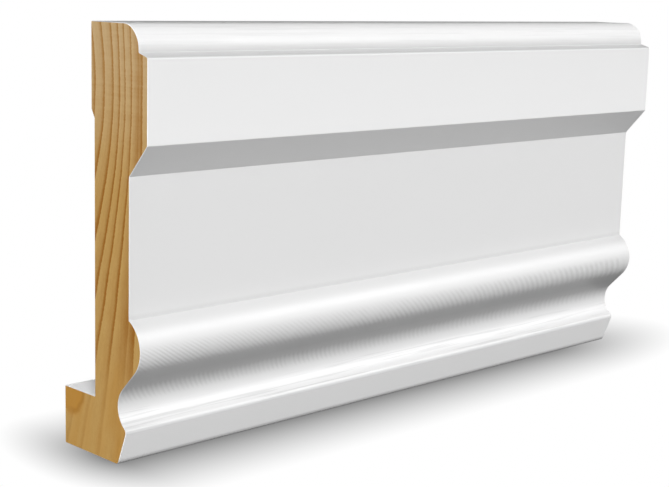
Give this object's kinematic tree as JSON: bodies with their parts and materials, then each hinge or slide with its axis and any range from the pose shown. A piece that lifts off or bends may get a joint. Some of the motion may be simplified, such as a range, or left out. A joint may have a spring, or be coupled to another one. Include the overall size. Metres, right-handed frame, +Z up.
{
  "type": "door casing",
  "caption": "Straight length of white primed pine door casing with a thick rounded head, chamfer, flat field, bead, cove and a rear lip, sawn square to bare wood at each end.",
  "frame": {"origin": "middle of the underside, on the surface that the casing stands on", "axes": "+X along the length, the moulded face looks along -Y, +Z up the face width from the lip to the head"},
  "size_m": [0.216, 0.0362, 0.1143],
  "materials": {
    "primed_pine": "smooth white primer on pine, with faint planer marks across the run; the sawn ends are bare pine end grain"
  },
  "bodies": {
    "root": {"door_casing": "primed_pine"}
  },
  "joints": []
}
